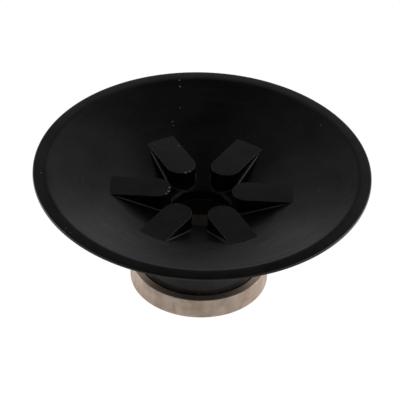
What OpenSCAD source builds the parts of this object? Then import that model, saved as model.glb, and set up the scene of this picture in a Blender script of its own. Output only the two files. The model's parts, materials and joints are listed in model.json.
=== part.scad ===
// Feed cone of a kitchen garbage disposal, the top piece that sits in the sink's outlet.
// A wide cone guides waste to a small throat, and six lugs guard the throat. A metal sleeve in the
// cone's neck takes the disposal's inlet pipe. A metal ring swivels on the neck, and its tabs hook
// under the inlet's flange, as a bayonet does.
// Sizes are millimetres. The axis is Z, and the ring's underside stands on Z = 0.

/* [Cone] */
// Diameter across the rolled lip
rim_d = 114; // [95:0.5:140]
// Height of the lip's crest above the foot of the lugs' noses
dish_depth = 15.2; // [12:0.1:18.5]
// Height of the foot of the lugs' noses above the ring's underside
floor_h = 29.5; // [25:0.1:36]
// Wall thickness of the cone
cone_wall = 3; // [2.5:0.1:3.8]
// Radius where the neck meets the cone's underside
neck_fillet = 5; // [3:0.5:6]

/* [Lip] */
// Width of the lip, from the cone's face to the rim
lip_w = 4.4; // [3.6:0.1:5.6]
// How far the lip falls from its crest to its outer edge
lip_fall = 0.1; // [0:0.05:0.6]
// Thickness of the lip at its outer edge
lip_t = 1; // [0.9:0.05:1.8]
// Radius of the lip's outer edge
lip_round = 0.45; // [0.3:0.05:0.55]
// Thickness of the seal under the lip
rim_seal_d = 2.4; // [1.8:0.1:2.9]

/* [Throat] */
// Diameter of the throat
throat_d = 19; // [15:0.1:20]
// Radius of the rounded edge between the cone's face and the throat
throat_round = 2; // [1:0.1:2.4]
// Diameter of the circle that the lugs' noses touch
nose_d = 20.6; // [20.2:0.1:26]
// Height of the lugs' feet above the throat's lower end
floor_t = 4.5; // [3.8:0.1:6]

/* [Guard lugs] */
// Width of a lug
lug_w = 10.2; // [7:0.1:12.5]
// Height of the lugs' flat tops above the foot of their noses
lug_h = 7.4; // [5:0.1:9]
// Bevel along the edges of a lug's top
lug_bevel = 0.2; // [0.1:0.05:0.4]

/* [Sleeve] */
// Bore of the sleeve, which takes the inlet pipe
inlet_d = 32; // [26:0.1:40]
// Wall thickness of the sleeve
sleeve_wall = 1.6; // [1.4:0.1:2.2]
// Length of the sleeve inside the neck
sleeve_l = 9.8; // [8:0.1:12]
// Thickness of the sleeve's flange, which sits on the end of the neck
sleeve_flange_t = 0.7; // [0.5:0.1:1]
// Width of the sleeve's flange past its tube
sleeve_flange_w = 1.9; // [1.4:0.1:2.4]
// Thickness of the two seals round the sleeve
sleeve_seal_d = 0.9; // [0.7:0.05:1.1]

/* [Neck] */
// Wall thickness of the neck round the sleeve
neck_wall = 3.15; // [2.6:0.05:4]
// Width of the shoulder above the sleeve, which stops the pipe
pipe_stop_w = 1.5; // [1:0.1:2]

/* [Mounting ring] */
// Wall thickness of the ring beside the neck
ring_wall = 2.65; // [2.2:0.05:4]
// Length of the neck that the ring covers
ring_cover = 3.2; // [2.5:0.1:4]
// Bevel on the ring's edges
ring_bevel = 0.35; // [0.2:0.05:0.5]
// Number of tabs that hook under the inlet's flange
tab_count = 3; // [2:1:4]
// Angle that one tab spans, in degrees
tab_angle = 42; // [30:1:60]
// Thickness of a tab
tab_t = 1.4; // [1:0.1:1.8]
// How far a tab reaches in from the ring's socket
tab_reach = 2.7; // [2:0.1:3.5]
// Diameter of the hole for a pin spanner in each tab
spanner_d = 2; // [1.4:0.1:2.4]

/* [Gasket and snap ring] */
// Height left between the tabs and the gasket for the inlet's flange
flange_room = 1.5; // [1:0.1:2]
// Thickness of the inlet gasket
gasket_t = 1; // [0.8:0.1:1.5]
// Width of the inlet gasket
gasket_w = 4; // [3:0.1:4.4]
// Thickness of the snap ring's wire
snap_d = 1.2; // [1:0.05:1.4]
// Angle of the gap in the snap ring, in degrees
snap_gap = 18; // [10:1:30]

/* [Hidden] */
$fn = 144;

// Clearances
push_gap = 0.02; // beside the sleeve, which is pushed home
lug_gap = 0.03; // between a lug and the cone's face
turn_gap = 0.1; // between the neck and the ring that turns on it
groove_gap = 0.1; // on each side of a seal or a wire in its groove
wire_gap = 0.2; // outside the snap ring, in the turning ring's groove
gasket_gap = 0.6; // between the gasket and the sleeve's bore

// Small fixed sizes
crest_step = 0.1; // from the end of the cone's face up to the lip's crest
edge_break = 0.3; // radius or bevel of an edge that is only broken
wire_fn = 32; // segments round a seal or a wire

// Cone
rim_r = rim_d / 2;
throat_r = throat_d / 2;
nose_r = nose_d / 2;
face_r = rim_r - lip_w;
crest_z = floor_h + dish_depth;
face_top_z = crest_z - crest_step;
face_rise = (face_top_z - floor_h) / (face_r - nose_r); // slope of the cone's face
face_angle = atan(face_rise);
round_centre = [throat_r + throat_round, floor_h + face_rise * (throat_r + throat_round - nose_r) - throat_round / cos(face_angle)];
lug_top_z = floor_h + lug_h;
lug_turn = 360 / 6;
lug_centre_x = nose_r + lug_w / 2;

// Pieces stacked under the neck, from the ring's underside up
gasket_z = tab_t + flange_room;
flange_z = gasket_z + gasket_t;
neck_z = flange_z + sleeve_flange_t;
ring_h = neck_z + ring_cover;
socket_top_z = flange_z;

// Sleeve and neck
inlet_r = inlet_d / 2;
sleeve_r = inlet_r + sleeve_wall;
seat_r = sleeve_r + push_gap;
stop_z = neck_z + sleeve_l;
chamber_r = inlet_r - pipe_stop_w;
chamber_top_z = floor_h - floor_t;
neck_r = sleeve_r + neck_wall;

// Seals round the sleeve
seal_groove_w = sleeve_seal_d + 2 * groove_gap;
seal_groove_r = seat_r - sleeve_seal_d;
seal_z_lower = neck_z + sleeve_l / 3;
seal_z_upper = neck_z + sleeve_l * 2 / 3;

// Snap ring, half in the neck and half in the turning ring
snap_z = neck_z + ring_cover / 2;
snap_groove_w = snap_d + 2 * groove_gap;
neck_groove_r = neck_r - snap_d / 2;
ring_groove_r = neck_r + snap_d / 2 + wire_gap;

// Mounting ring
ring_bore_r = neck_r + turn_gap;
ring_r = ring_bore_r + ring_wall;
socket_r = ring_groove_r;
tab_r = socket_r - tab_reach;
spanner_r = (tab_r + socket_r) / 2;
overlap = 0.5; // how far a tab runs into the ring's wall

// Rim seal, pressed into a groove in the cone's underside beside the lip
rim_seal_r = face_r - rim_seal_d / 2;
rim_groove_w = rim_seal_d + 2 * groove_gap;
rim_groove_top_z = under_z(rim_seal_r) + rim_seal_d * 0.55;

// Height of the cone's face at radius r, and of its underside, one wall thickness below
function face_z(r) = floor_h + face_rise * (r - nose_r);
function under_z(r) = face_z(r) - cone_wall / cos(face_angle);

// Points along an arc round a centre, from angle a to angle b
function arc(centre, radius, a, b, steps = 8) =
    [for (i = [0 : steps]) centre + radius * [cos(a + (b - a) * i / steps), sin(a + (b - a) * i / steps)]];

// Throat's rounded edge, which runs smoothly into the cone's face
function throat_points() = arc(round_centre, throat_round, 180, 90 + face_angle);

// Lip: over its crest, down its fall, round its outer edge and back to the underside
function lip_points() = concat(
    [[face_r + lip_w / 4, crest_z]],
    arc([rim_r - lip_round, crest_z - lip_fall - lip_round], lip_round, 80, 0),
    arc([rim_r - edge_break, crest_z - lip_fall - lip_t + edge_break], edge_break, 0, -80, 4));

// Underside from the lip in to the neck, and the fillet between them
under_end_r = neck_r + neck_fillet * (1 - sin(face_angle));
fillet_centre = [neck_r + neck_fillet, under_z(under_end_r) - neck_fillet * cos(face_angle)];
under_start_r = face_r - edge_break;
function under_points() = concat(
    [[under_start_r, under_z(under_start_r)]],
    arc(fillet_centre, neck_fillet, 90 + face_angle, 180));

// Neck's outside, its end, the sleeve's seat, the shoulder, the chamber and the throat's lower edge
function neck_points() = [
    [neck_r, neck_z], [seat_r, neck_z], [seat_r, stop_z], [chamber_r, stop_z],
    [chamber_r, chamber_top_z],
    [throat_r + edge_break, chamber_top_z], [throat_r, chamber_top_z + edge_break],
];

// Turned ring of rectangular section
module band(inner, outer, low, high) {
    rotate_extrude() translate([inner, low]) square([outer - inner, high - low]);
}

// Turned ring of round section, or a part of one
module hoop(radius, height, thickness, angle = 360) {
    rotate_extrude(angle = angle) translate([radius, height]) circle(d = thickness, $fn = wire_fn);
}

module feed_cone() {
    color([0.05, 0.05, 0.055]) rotate_extrude() difference() {
        polygon(concat(throat_points(), [[face_r, face_top_z]], lip_points(), under_points(), neck_points()));
        translate([neck_groove_r, snap_z - snap_groove_w / 2]) square([snap_d, snap_groove_w]);
        translate([rim_seal_r - rim_groove_w / 2, rim_groove_top_z - cone_wall * 2])
            square([rim_groove_w, cone_wall * 2]);
    }
}

// Everything up to the cone's face and a lug's gap above it, out to the rim
module below_face() {
    translate([0, 0, lug_gap]) rotate_extrude()
        polygon(concat([[0, 0], [0, round_centre[1]]], throat_points(),
            [[face_r, face_top_z], [rim_r, crest_z], [rim_r, 0]]));
}

// Plan of a lug along +X: a round nose towards the throat, and a bar out to the cone's face
module lug_plan(width) {
    translate([lug_centre_x, 0]) circle(d = width);
    translate([lug_centre_x, -width / 2]) square([face_r - lug_centre_x, width]);
}

// Lug number n, with its underside cut to the cone's face
module guard_lug(n) {
    color([0.06, 0.06, 0.065]) rotate(lug_turn * (n - 1)) difference() {
        union() {
            translate([0, 0, round_centre[1]])
                linear_extrude(lug_top_z - round_centre[1] - lug_bevel) lug_plan(lug_w);
            translate([0, 0, round_centre[1]])
                linear_extrude(lug_top_z - round_centre[1]) lug_plan(lug_w - 2 * lug_bevel);
        }
        below_face();
    }
}

module throat_sleeve() {
    color([0.72, 0.68, 0.64]) difference() {
        union() {
            band(inlet_r, sleeve_r, flange_z, stop_z);
            band(inlet_r, sleeve_r + sleeve_flange_w, flange_z, neck_z);
        }
        for (z = [seal_z_lower, seal_z_upper])
            band(seal_groove_r, sleeve_r + sleeve_flange_w, z - seal_groove_w / 2, z + seal_groove_w / 2);
    }
}

module sleeve_seal(z) {
    color([0.03, 0.03, 0.03]) hoop(seal_groove_r + sleeve_seal_d / 2, z, sleeve_seal_d);
}

module inlet_gasket() {
    color([0.04, 0.04, 0.04])
        band(inlet_r + gasket_gap, inlet_r + gasket_gap + gasket_w, gasket_z, flange_z);
}

module rim_seal() {
    color([0.03, 0.03, 0.03]) hoop(rim_seal_r, rim_groove_top_z - rim_seal_d / 2, rim_seal_d);
}

module snap_ring() {
    color([0.6, 0.6, 0.62]) rotate(90 + snap_gap / 2) hoop(neck_r, snap_z, snap_d, 360 - snap_gap);
}

// Section of the ring's wall: a bore for the neck, a groove for the snap ring and a wider socket below
module ring_section() {
    difference() {
        polygon([
            [socket_r, 0], [ring_r - ring_bevel, 0], [ring_r, ring_bevel],
            [ring_r, ring_h - ring_bevel], [ring_r - ring_bevel, ring_h],
            [ring_bore_r + ring_bevel, ring_h], [ring_bore_r, ring_h - ring_bevel],
            [ring_bore_r, socket_top_z], [socket_r, socket_top_z],
        ]);
        translate([ring_groove_r - snap_d, snap_z - snap_groove_w / 2]) square([snap_d, snap_groove_w]);
    }
}

module mounting_ring() {
    color([0.74, 0.68, 0.62]) difference() {
        union() {
            rotate_extrude() ring_section();
            for (i = [0 : tab_count - 1])
                rotate(i * 360 / tab_count - tab_angle / 2) rotate_extrude(angle = tab_angle)
                    translate([tab_r, 0]) square([tab_reach + overlap, tab_t]);
        }
        for (i = [0 : tab_count - 1])
            rotate(i * 360 / tab_count) translate([spanner_r, 0, -1]) cylinder(d = spanner_d, h = tab_t + 2);
    }
}

feed_cone();
guard_lug(1);  // guard_lug_1
guard_lug(2);  // guard_lug_2
guard_lug(3);  // guard_lug_3
guard_lug(4);  // guard_lug_4
guard_lug(5);  // guard_lug_5
guard_lug(6);  // guard_lug_6
throat_sleeve();
sleeve_seal(seal_z_upper);  // sleeve_seal_upper
sleeve_seal(seal_z_lower);  // sleeve_seal_lower
inlet_gasket();
rim_seal();
snap_ring();
mounting_ring();
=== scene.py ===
"""Feed cone of a kitchen garbage disposal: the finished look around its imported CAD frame.

The frame gives the places and the main sizes in metres, with +Z up along the throat's axis and
the mounting ring's underside on Z = 0. Every piece is a surface worked out with numpy: most are
profiles turned round the axis, the guard lugs are walls carried along an outline, and the ring's
tabs are plates mapped between a hole and a rim. The finishes are node materials.
"""

from __future__ import annotations

import json
import logging
import math
from dataclasses import dataclass, field
from enum import Enum

import bmesh
import bpy
import numpy as np
from mathutils import Matrix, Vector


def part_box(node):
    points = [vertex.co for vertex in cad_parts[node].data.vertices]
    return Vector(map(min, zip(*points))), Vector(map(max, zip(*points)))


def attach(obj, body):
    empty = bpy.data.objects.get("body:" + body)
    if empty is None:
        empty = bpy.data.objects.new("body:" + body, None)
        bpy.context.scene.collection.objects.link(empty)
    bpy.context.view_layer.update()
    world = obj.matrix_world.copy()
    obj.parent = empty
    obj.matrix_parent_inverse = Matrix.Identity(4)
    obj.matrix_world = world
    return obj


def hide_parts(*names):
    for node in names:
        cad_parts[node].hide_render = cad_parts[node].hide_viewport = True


LOG = logging.getLogger("feed_cone")
MM = 0.001
TAU = 2.0 * math.pi
Array = np.ndarray
Triple = tuple[float, float, float]
Material = bpy.types.Material
Object = bpy.types.Object
Socket = bpy.types.NodeSocket


# ------------------------------------------------------------------ profiles and grids


def arc(centre: tuple[float, float], radius: float, start: float, end: float, count: int) -> Array:
    """Points along an arc: centre + radius * (cos a, sin a), with a from start to end.

    Args:
        centre: Centre in the plane.
        radius: Radius of the arc.
        start: First angle in degrees.
        end: Last angle in degrees.
        count: Number of points.

    Returns:
        An array of count points.
    """
    angle = np.radians(np.linspace(start, end, count))
    return np.stack([centre[0] + radius * np.cos(angle), centre[1] + radius * np.sin(angle)], axis=1)


def rounded(corners: list[Triple], hold: float = 0.12, count: int = 7) -> Array:
    """A closed outline whose corners are replaced by arcs that touch both of their sides.

    An arc of radius r in a corner whose sides turn by t starts and ends r * tan(t / 2) away from
    the corner. One more point stands a short hold beyond each end, so that the flat side keeps
    its own shading.

    Args:
        corners: Corner points as (x, y, radius), in order round the outline.
        hold: Distance from an arc's end to its hold point.
        count: Points along one arc.

    Returns:
        The outline's points, without a repeat of the first.
    """
    points = np.array([corner[:2] for corner in corners])
    radii = np.array([corner[2] for corner in corners])
    before = np.roll(points, 1, axis=0) - points
    after = np.roll(points, -1, axis=0) - points
    length_before = np.linalg.norm(before, axis=1)
    length_after = np.linalg.norm(after, axis=1)
    before = before / length_before[:, None]
    after = after / length_after[:, None]
    half = np.arccos(np.clip((before * after).sum(axis=1), -1.0, 1.0)) / 2.0
    reach = np.minimum(radii / np.tan(half), 0.49 * np.minimum(length_before, length_after))
    radii = reach * np.tan(half)
    pieces = []
    for index, point in enumerate(points):
        start = point + before[index] * reach[index]
        end = point + after[index] * reach[index]
        middle = before[index] + after[index]
        size = np.linalg.norm(middle)
        if radii[index] <= 0.0 or size < 1e-9:
            pieces.append(point[None, :])
            continue
        centre = point + middle / size * math.hypot(radii[index], reach[index])
        turn = np.linspace(0.0, 1.0, count)[:, None]
        sweep = math.pi - 2.0 * half[index]
        first, last = start - centre, end - centre
        bow = (np.sin((1.0 - turn) * sweep) * first + np.sin(turn * sweep) * last) / math.sin(sweep)
        room_before = min(hold, 0.2 * length_before[index])
        room_after = min(hold, 0.2 * length_after[index])
        pieces.append((start + before[index] * room_before)[None, :])
        pieces.append(centre + bow)
        pieces.append((end + after[index] * room_after)[None, :])
    return np.concatenate(pieces)


def grid_faces(rows: int, columns: int, wrap_rows: bool, wrap_columns: bool) -> Array:
    """Four-sided faces of a grid of rows by columns points, numbered row by row.

    Args:
        rows: Number of rows.
        columns: Number of columns.
        wrap_rows: Whether the last row joins the first.
        wrap_columns: Whether the last column joins the first.

    Returns:
        An array of faces with four point numbers each.
    """
    row = np.arange(rows if wrap_rows else rows - 1)
    column = np.arange(columns if wrap_columns else columns - 1)
    row, column = np.meshgrid(row, column, indexing="ij")
    next_row, next_column = (row + 1) % rows, (column + 1) % columns
    corners = [(row, column), (row, next_column), (next_row, next_column), (next_row, column)]
    return np.stack([(a * columns + b).ravel() for a, b in corners], axis=1)


@dataclass
class Surface:
    """Points and four-sided faces that are gathered for one piece."""

    points: list[Array] = field(default_factory=list)
    faces: list[Array] = field(default_factory=list)
    total: int = 0

    def add(self, grid: Array, wrap_rows: bool = False, wrap_columns: bool = False) -> None:
        """Adds a grid of points, shaped (rows, columns, 3), and the faces between them.

        Args:
            grid: The points in millimetres.
            wrap_rows: Whether the last row joins the first.
            wrap_columns: Whether the last column joins the first.
        """
        rows, columns = grid.shape[:2]
        self.points.append(grid.reshape(-1, 3))
        self.faces.append(grid_faces(rows, columns, wrap_rows, wrap_columns) + self.total)
        self.total += rows * columns

    def piece(self, name: str, weld: float = 0.002) -> Object:
        """Makes the Blender object: points welded, faces turned outwards, smooth.

        Args:
            name: Name of the piece.
            weld: Distance in millimetres within which points become one.

        Returns:
            The new object, at the origin, with its place in its mesh.
        """
        mesh = bpy.data.meshes.new(name)
        points, faces = np.concatenate(self.points) * MM, np.concatenate(self.faces)
        mesh.from_pydata(points.tolist(), [], faces.tolist())
        work = bmesh.new()
        work.from_mesh(mesh)
        bmesh.ops.remove_doubles(work, verts=work.verts, dist=weld * MM)
        bmesh.ops.dissolve_degenerate(work, edges=work.edges, dist=1e-7)
        bmesh.ops.recalc_face_normals(work, faces=work.faces)
        if work.calc_volume(signed=True) < 0.0:
            bmesh.ops.reverse_faces(work, faces=work.faces)
        work.to_mesh(mesh)
        work.free()
        mesh.polygons.foreach_set("use_smooth", np.ones(len(mesh.polygons), dtype=bool))
        mesh.update()
        made = bpy.data.objects.new(name, mesh)
        bpy.context.scene.collection.objects.link(made)
        return made


def turned(profile: Array, steps: int = 360) -> Array:
    """The profile turned round the axis: (r, z) becomes (r cos a, r sin a, z).

    Args:
        profile: Points as (radius, height).
        steps: Number of angles round the axis.

    Returns:
        A grid of steps by profile points.
    """
    angle = np.linspace(0.0, TAU, steps, endpoint=False)[:, None]
    radius, height = profile[None, :, 0], profile[None, :, 1]
    height = np.broadcast_to(height, (steps, len(profile)))
    return np.stack([radius * np.cos(angle), radius * np.sin(angle), height], axis=2)


def spun(grid: Array, turn: float) -> Array:
    """Points in space, turned about the axis by an angle in radians."""
    x, y = grid[..., 0], grid[..., 1]
    across, out = x * math.cos(turn) - y * math.sin(turn), x * math.sin(turn) + y * math.cos(turn)
    return np.stack([across, out, grid[..., 2]], axis=-1)


def turned_piece(name: str, profile: Array, steps: int = 360) -> Object:
    """A closed profile turned all the way round the axis, as one piece."""
    surface = Surface()
    surface.add(turned(profile, steps), wrap_rows=True, wrap_columns=True)
    return surface.piece(name)


# ------------------------------------------------------------------ finishes


class Nodes:
    """Adds nodes to one tree and joins them, so that a tree reads as a list of steps."""

    def __init__(self, tree: bpy.types.NodeTree) -> None:
        """Takes the tree that the nodes go into."""
        self.tree = tree

    def node(self, kind: str, **settings: object) -> bpy.types.Node:
        """Adds a node and sets its properties."""
        made = self.tree.nodes.new(kind)
        for name, value in settings.items():
            setattr(made, name, value)
        return made

    def join(self, source: Socket, target: Socket) -> None:
        """Joins an output to an input."""
        self.tree.links.new(source, target)

    def feed(self, target: Socket, value: object) -> None:
        """Sets an input to a number, or joins an output to it."""
        if isinstance(value, Socket):
            self.join(value, target)
        else:
            target.default_value = value

    def math(self, operation: str, *values: object) -> Socket:
        """One Math node; values are numbers or outputs."""
        made = self.node("ShaderNodeMath", operation=operation)
        for socket, value in zip(made.inputs, values):
            self.feed(socket, value)
        return made.outputs[0]

    def separate(self, vector: Socket) -> tuple[Socket, ...]:
        """The X, Y and Z of a vector."""
        made = self.node("ShaderNodeSeparateXYZ")
        self.join(vector, made.inputs[0])
        return tuple(made.outputs[index] for index in range(3))

    def spread(self, value: object, low: float, high: float, start: float = 0.0, end: float = 1.0):
        """Maps low..high to start..end and holds it there."""
        made = self.node("ShaderNodeMapRange", clamp=True)
        self.feed(made.inputs["Value"], value)
        ends = {"From Min": low, "From Max": high, "To Min": start, "To Max": end}
        for name, number in ends.items():
            made.inputs[name].default_value = number
        return made.outputs[0]

    def times(self, first: object, second: object) -> Socket:
        """The product of two numbers or outputs."""
        return self.math("MULTIPLY", first, second)

    def weigh(self, *parts: tuple[object, float]) -> Socket:
        """The sum of values, each times its weight."""
        total, *rest = [self.times(value, weight) for value, weight in parts]
        for term in rest:
            total = self.math("ADD", total, term)
        return total


class Sockets(Nodes):
    """One material: a Principled shader and the patterns that feed its inputs."""

    def __init__(self, name: str) -> None:
        """Starts a material with a Principled shader and its output."""
        self.material = bpy.data.materials.new(name)
        self.material.use_nodes = True
        super().__init__(self.material.node_tree)
        self.tree.nodes.clear()
        self.shader = self.node("ShaderNodeBsdfPrincipled")
        output = self.node("ShaderNodeOutputMaterial")
        self.join(self.shader.outputs["BSDF"], output.inputs["Surface"])
        self.place = self.node("ShaderNodeTexCoord").outputs["Object"]

    def put(self, name: str, value: object) -> None:
        """Sets one of the shader's inputs to a constant, or joins an output to it."""
        self.feed(self.shader.inputs[name], value)

    def combine(self, *parts: object) -> Socket:
        """A vector from three numbers or outputs."""
        made = self.node("ShaderNodeCombineXYZ")
        for socket, value in zip(made.inputs, parts):
            self.feed(socket, value)
        return made.outputs[0]

    def scaled(self, vector: Socket, scale: Triple, turn: float = 0.0) -> Socket:
        """A vector turned about Z by degrees and scaled, through a Mapping node."""
        made = self.node("ShaderNodeMapping")
        self.join(vector, made.inputs["Vector"])
        made.inputs["Rotation"].default_value = (0.0, 0.0, math.radians(turn))
        made.inputs["Scale"].default_value = scale
        return made.outputs[0]

    def attribute(self, name: str) -> bpy.types.Node:
        """Reads a point attribute of the piece."""
        return self.node("ShaderNodeAttribute", attribute_name=name)

    def noise(self, vector: Socket, scale: float, detail: float = 3.0, rough: float = 0.55):
        """Noise from 0 to 1 round a middle of 0.5, with features 1 / scale of the vector's unit."""
        made = self.node("ShaderNodeTexNoise", noise_dimensions="3D")
        self.join(vector, made.inputs["Vector"])
        made.inputs["Scale"].default_value = scale
        made.inputs["Detail"].default_value = detail
        made.inputs["Roughness"].default_value = rough
        return made.outputs["Fac"]

    def blend(self, share: object, first: object, second: object) -> Socket:
        """Mixes two colours by a share from 0 to 1."""
        made = self.node("ShaderNodeMix", data_type="RGBA", clamp_factor=True)
        self.feed(made.inputs["Factor"], share)
        self.feed(made.inputs["A"], first)
        self.feed(made.inputs["B"], second)
        return made.outputs["Result"]

    def bump(self, height: object, distance: float, strength: float = 1.0, under: object = None):
        """Bump from a height of 0 to 1 that stands for distance millimetres."""
        made = self.node("ShaderNodeBump")
        made.inputs["Strength"].default_value = strength
        made.inputs["Distance"].default_value = distance * MM
        self.feed(made.inputs["Height"], height)
        if under is not None:
            self.join(under, made.inputs["Normal"])
        return made.outputs["Normal"]

    def radius(self) -> Socket:
        """Distance from the axis, in metres."""
        x, y, _ = self.separate(self.place)
        return self.math("SQRT", self.math("ADD", self.times(x, x), self.times(y, y)))

    def dome(self, inner: float, outer: float, fall: float, under: object = None) -> Socket:
        """Bump for a flat ring face that falls off by a little from its inner to its outer edge.

        Args:
            inner: Radius of the inner edge in millimetres.
            outer: Radius of the outer edge in millimetres.
            fall: Height lost between them in millimetres.
            under: Normal that the bump is added to.

        Returns:
            The normal's output.
        """
        height = self.spread(self.radius(), inner * MM, outer * MM, 1.0, 0.0)
        return self.bump(height, fall, 1.0, under)

    def round_axis(self, along: float, across: float) -> Socket:
        """Coordinates that stretch a pattern into rings round the axis.

        The vector is (across * x / r, across * y / r, along * (r + rise * z)), so it changes fast
        from ring to ring and slowly round each ring, with no seam.

        Args:
            along: Pattern units for each metre out from the axis or up.
            across: Pattern units round the ring, counted at radius one.

        Returns:
            The vector's output.
        """
        rise = 0.83
        x, y, z = self.separate(self.place)
        radius = self.radius()
        safe = self.math("MAXIMUM", radius, 1e-5)
        out = self.times(self.math("ADD", radius, self.times(z, rise)), along)
        beside = [self.times(self.math("DIVIDE", part, safe), across) for part in (x, y)]
        return self.combine(*beside, out)

    def specks(self, size: float, spacing: float, share: float) -> Socket:
        """Round specks, 1 inside a speck: near a cell's centre, in a share of the cells.

        Args:
            size: Speck diameter in millimetres.
            spacing: Cell size in millimetres.
            share: Share of cells that hold a speck.

        Returns:
            The mask's output.
        """
        made = self.node("ShaderNodeTexVoronoi", voronoi_dimensions="3D", feature="F1")
        self.join(self.place, made.inputs["Vector"])
        made.inputs["Scale"].default_value = 1.0 / (spacing * MM)
        lucky = self.math("LESS_THAN", self.separate(made.outputs["Color"])[0], share)
        edge = size / spacing
        close = self.spread(made.outputs["Distance"], 0.35 * edge, 0.5 * edge, 1.0, 0.0)
        return self.times(lucky, close)


@dataclass(frozen=True)
class Spot:
    """A place on the surface where lint lies or the coat is chipped, in millimetres."""

    x: float
    y: float
    z: float
    size: float


DISH_LINT = (
    Spot(-10.1, 51.4, 44.5, 0.55), Spot(-9.8, 48.9, 43.6, 0.6), Spot(-11.6, 34.7, 38.9, 0.45),
    Spot(-11.2, 33.2, 38.3, 0.35), Spot(39.5, 30.4, 43.6, 0.4), Spot(-9.3, 40.5, 40.7, 0.35),
    Spot(-53.9, -5.2, 44.65, 0.5), Spot(-43.3, -34.1, 44.65, 0.4), Spot(-41.7, -36.3, 44.65, 0.4),
    Spot(-43.9, -35.7, 44.65, 0.35),
)
LUG_LINT = (
    Spot(-8.9, 23.7, 36.9, 0.5), Spot(-5.8, 8.9, 36.9, 0.8), Spot(-4.4, 9.6, 36.8, 0.65),
    Spot(-3.2, 10.3, 36.9, 0.7), Spot(-10.9, 0.2, 36.9, 0.75), Spot(-11.1, -1.9, 36.9, 0.8),
    Spot(-11.8, -3.3, 36.9, 0.6), Spot(19.7, 5.0, 36.9, 0.45), Spot(-6.4, -18.1, 36.9, 0.3),
    Spot(-8.3, -8.6, 36.9, 0.35),
)


@dataclass(frozen=True)
class ThroatShade:
    """Painted shade: dulled, rougher shine on the front of the dish's face and in the throat, thickest
    by the throat.

    The face's line is z = rise * r + level. The painted shade lies on points less than sunk below
    that line, or within throat of the axis. All lengths are in millimetres.
    """

    start: float
    end: float
    most: float
    rise: float
    level: float
    throat: float
    sunk: float = 1.5
    front: float = -12.0
    back: float = 4.0
    back_share: float = 0.15

    def share(self, made: Sockets) -> Socket:
        """How much of the shine the painted shade takes away, from 0 to most."""
        _, y, z = made.separate(made.place)
        radius = made.radius()
        thick = made.spread(radius, self.start * MM, self.end * MM, self.most, 0.0)
        along = made.spread(y, self.front * MM, self.back * MM, 1.0, self.back_share)
        above = made.math("SUBTRACT", z, made.times(radius, self.rise))
        face = made.math("GREATER_THAN", above, (self.level - self.sunk) * MM)
        inside = made.math("LESS_THAN", radius, self.throat * MM)
        return made.times(made.times(thick, along), made.math("MAXIMUM", face, inside))


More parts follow.
